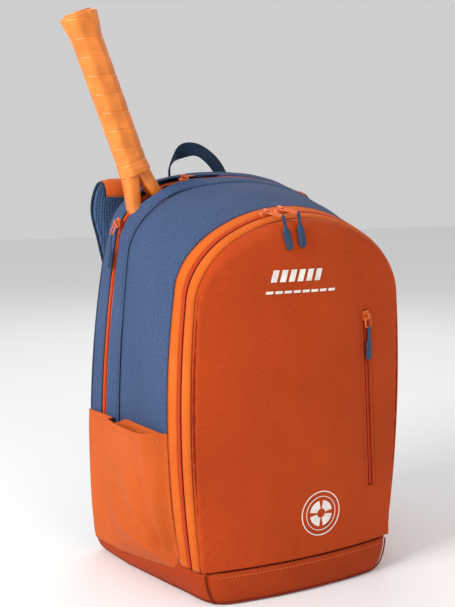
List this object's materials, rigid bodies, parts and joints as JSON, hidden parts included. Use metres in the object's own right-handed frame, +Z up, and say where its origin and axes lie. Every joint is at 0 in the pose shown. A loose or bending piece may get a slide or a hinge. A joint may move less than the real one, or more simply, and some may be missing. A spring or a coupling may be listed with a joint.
{
  "type": "racket backpack",
  "caption": "Two-tone racket backpack with a fold-down front compartment, side pockets and a racket standing in its open main zip.",
  "frame": {"origin": "on the ground under the middle of the base", "axes": "+Z up, -Y out of the front panel, +X to the right seen from the front"},
  "size_m": [0.3894, 0.3016, 0.6634],
  "materials": {
    "blue_cloth": "heathered weave",
    "orange_cloth": "woven",
    "boot_cloth": "coated weave",
    "zip_tape": "ribbed tape",
    "zip_coil": "satin",
    "slider_metal": "satin",
    "grip_rubber": "matte",
    "navy_webbing": "ribbed webbing",
    "buckle_plastic": "matte",
    "strap_mesh": "spacer mesh",
    "lining": "plain weave",
    "print_white": "screen print",
    "racket_paint": "lacquer",
    "racket_grip": "tacky overgrip",
    "string": "satin"
  },
  "bodies": {
    "bag": {"side_panel_left": "blue_cloth", "side_panel_right": "blue_cloth", "top_panel": "blue_cloth", "main_gusset_front": "blue_cloth", "main_gusset_rear": "blue_cloth", "main_zip_tape_front": "zip_tape", "main_zip_tape_rear": "zip_tape", "main_zip_coil": "zip_coil", "divider_panel": "blue_cloth", "back_panel": "strap_mesh", "frame_sheet": "buckle_plastic", "base_panel": "boot_cloth", "boot": "boot_cloth", "side_pocket_left": "orange_cloth", "side_pocket_right": "orange_cloth", "front_zip_tape_rear": "zip_tape", "front_zip_coil_rear": "zip_coil", "back_pads": "strap_mesh", "strap_yoke": "strap_mesh", "shoulder_strap_left": "strap_mesh", "shoulder_strap_right": "strap_mesh", "ladder_lock_left": "buckle_plastic", "ladder_lock_right": "buckle_plastic", "lower_webbing_left": "navy_webbing", "lower_webbing_right": "navy_webbing", "webbing_tab_left": "navy_webbing", "webbing_tab_right": "navy_webbing"},
    "front_flap": {"front_panel": "orange_cloth", "front_zip_tape_front": "zip_tape", "front_zip_coil_front": "zip_coil", "pocket_zip_tape": "zip_tape", "pocket_zip_coil": "zip_coil", "pocket_bag": "lining", "front_print": "print_white", "round_badge": "print_white"},
    "front_slider_left": {"front_slider_left": "slider_metal"},
    "front_pull_left": {"front_ring_left": "slider_metal", "front_grip_left": "grip_rubber"},
    "front_slider_right": {"front_slider_right": "slider_metal"},
    "front_pull_right": {"front_ring_right": "slider_metal", "front_grip_right": "grip_rubber"},
    "pocket_slider": {"pocket_slider": "slider_metal"},
    "pocket_pull": {"pocket_ring": "slider_metal", "pocket_grip": "grip_rubber"},
    "main_slider_side": {"main_slider_side": "slider_metal"},
    "main_pull_side": {"main_ring_side": "slider_metal", "main_grip_side": "grip_rubber"},
    "main_slider_top": {"main_slider_top": "slider_metal"},
    "main_pull_top": {"main_ring_top": "slider_metal", "main_grip_top": "grip_rubber"},
    "haul_handle": {"haul_handle": "navy_webbing"},
    "racket": {"racket_frame": "racket_paint", "racket_bumper": "racket_grip", "racket_strings": "string", "grip_wrap": "racket_grip", "handle_pallet": "racket_paint", "grip_collar": "racket_grip", "butt_cap": "racket_grip"}
  },
  "joints": [
    {"name": "front_flap_hinge", "type": "hinge", "parent": "bag", "child": "front_flap", "pos_m": [0, -0.114, 0.039], "axis": [1, 0, 0], "range_deg": [0, 85]},
    {"name": "front_zip_left", "type": "hinge", "parent": "front_flap", "child": "front_slider_left", "pos_m": [0, -0.079, 0.25489], "axis": [0, 1, 0], "range_deg": [-15, 0]},
    {"name": "front_zip_right", "type": "hinge", "parent": "front_flap", "child": "front_slider_right", "pos_m": [0, -0.079, 0.25489], "axis": [0, 1, 0], "range_deg": [0, 33]},
    {"name": "front_pull_left_swing", "type": "hinge", "parent": "front_slider_left", "child": "front_pull_left", "pos_m": [-0.03806, -0.08052, 0.43149], "axis": [-1, 0, 0], "range_deg": [0, 140]},
    {"name": "front_pull_right_swing", "type": "hinge", "parent": "front_slider_right", "child": "front_pull_right", "pos_m": [-0.01955, -0.08052, 0.43449], "axis": [-1, 0, 0], "range_deg": [0, 140]},
    {"name": "pocket_zip", "type": "slide", "parent": "front_flap", "child": "pocket_slider", "axis": [0.0706, 0.01, -0.9975], "range_m": [0, 0.18]},
    {"name": "pocket_pull_swing", "type": "hinge", "parent": "pocket_slider", "child": "pocket_pull", "pos_m": [0.0788, -0.11393, 0.31206], "axis": [-0.9679, -0.2413, -0.0709], "range_deg": [0, 150]},
    {"name": "main_zip_side", "type": "hinge", "parent": "bag", "child": "main_slider_side", "pos_m": [1.35992, 0.084, 0.13838], "axis": [0, -1, 0], "range_deg": [0, 6.3]},
    {"name": "main_pull_side_swing", "type": "hinge", "parent": "main_slider_side", "child": "main_pull_side", "pos_m": [-0.14836, 0.084, 0.41496], "axis": [0, 1, 0], "range_deg": [0, 150]},
    {"name": "main_zip_top", "type": "hinge", "parent": "bag", "child": "main_slider_top", "pos_m": [0, 0.084, 0.15683], "axis": [0, 1, 0], "range_deg": [0, 21]},
    {"name": "main_pull_top_swing", "type": "hinge", "parent": "main_slider_top", "child": "main_pull_top", "pos_m": [-0.05897, 0.08311, 0.46928], "axis": [0, -1, 0], "range_deg": [0, 150]},
    {"name": "haul_handle_fold", "type": "hinge", "parent": "bag", "child": "haul_handle", "pos_m": [0, 0.1176, 0.4593], "axis": [-1, 0, 0], "range_deg": [0, 80]},
    {"name": "racket_draw", "type": "slide", "parent": "bag", "child": "racket", "axis": [-0.3518, 0, 0.9361], "range_m": [0, 0.02]}
  ]
}
